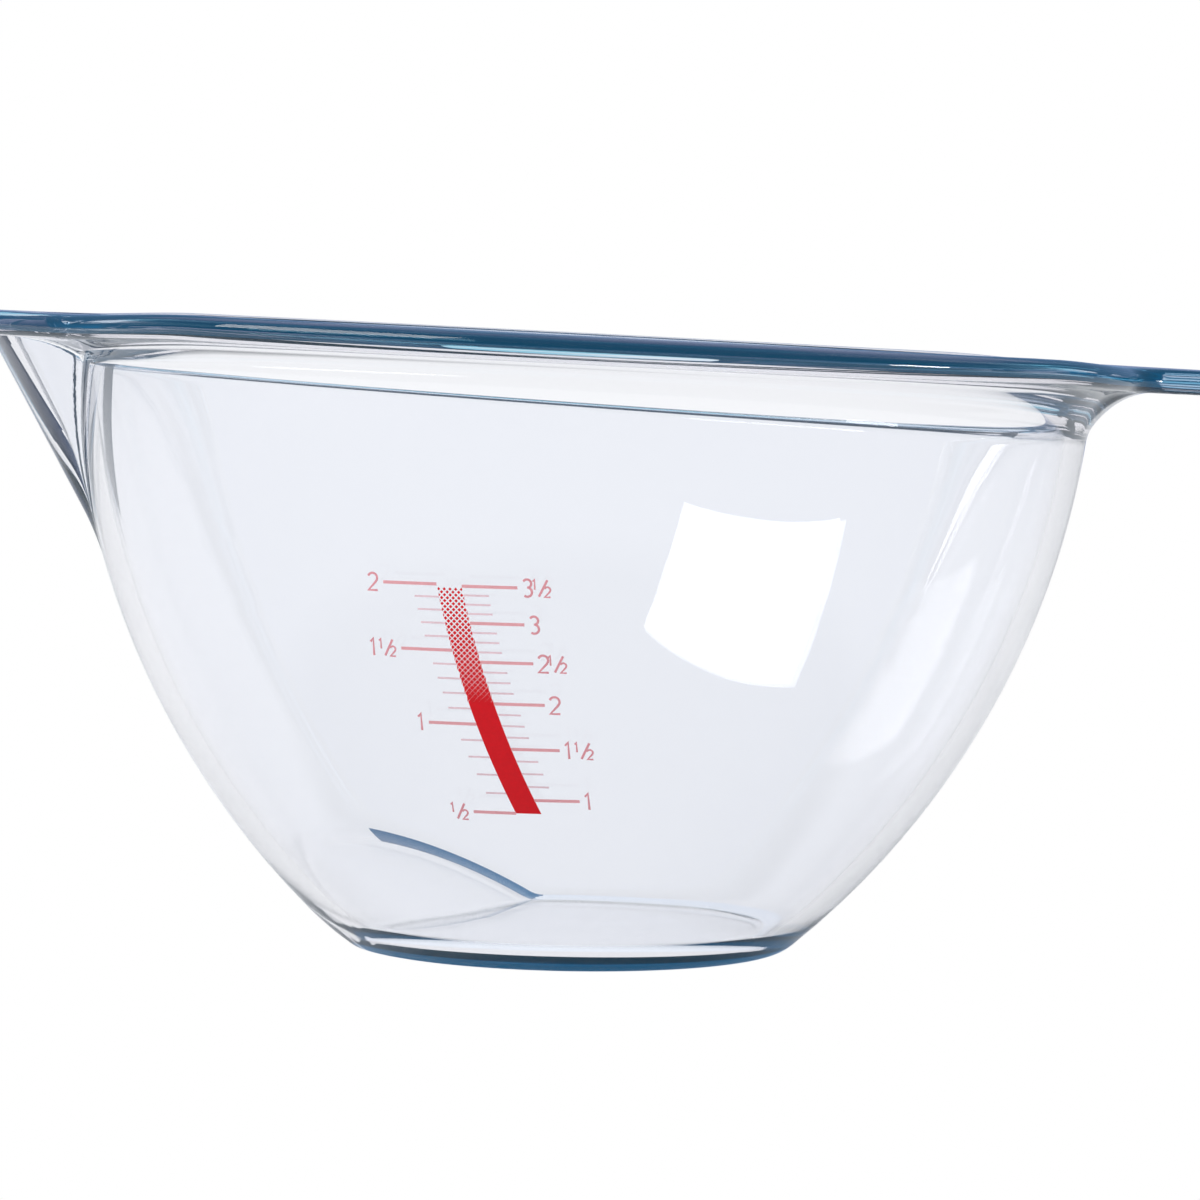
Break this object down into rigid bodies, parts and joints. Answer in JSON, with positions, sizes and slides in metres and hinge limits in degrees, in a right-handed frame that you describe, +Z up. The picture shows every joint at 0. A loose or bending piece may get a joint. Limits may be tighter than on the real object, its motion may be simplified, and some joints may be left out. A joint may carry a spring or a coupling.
{
  "type": "batter bowl",
  "caption": "Clear pressed glass batter bowl with a pouring spout, a flat tab handle, a level foot, a tilted foot for whisking and a red capacity scale.",
  "frame": {"origin": "centre of the level foot, where the bowl's axis meets the surface it stands on", "axes": "+X runs along the handle and -X along the spout, the printed scale is on the -Y side and nearer to the spout, +Z is up"},
  "size_m": [0.311, 0.266, 0.1493],
  "materials": {
    "glass": "clear, fire polished, with a teal tint at the thick edges",
    "enamel_red": "fired enamel, satin",
    "enamel_line": "fired enamel, thin, satin",
    "enamel_tick": "fired enamel, very thin, satin"
  },
  "bodies": {
    "root": {"glass_bowl": "glass", "scale_bar": "enamel_red", "scale_fade": "enamel_red", "litre_lines": "enamel_line", "litre_ticks": "enamel_tick", "litre_numerals": "enamel_line", "pint_lines": "enamel_line", "pint_ticks": "enamel_tick", "pint_numerals": "enamel_line"}
  },
  "joints": []
}
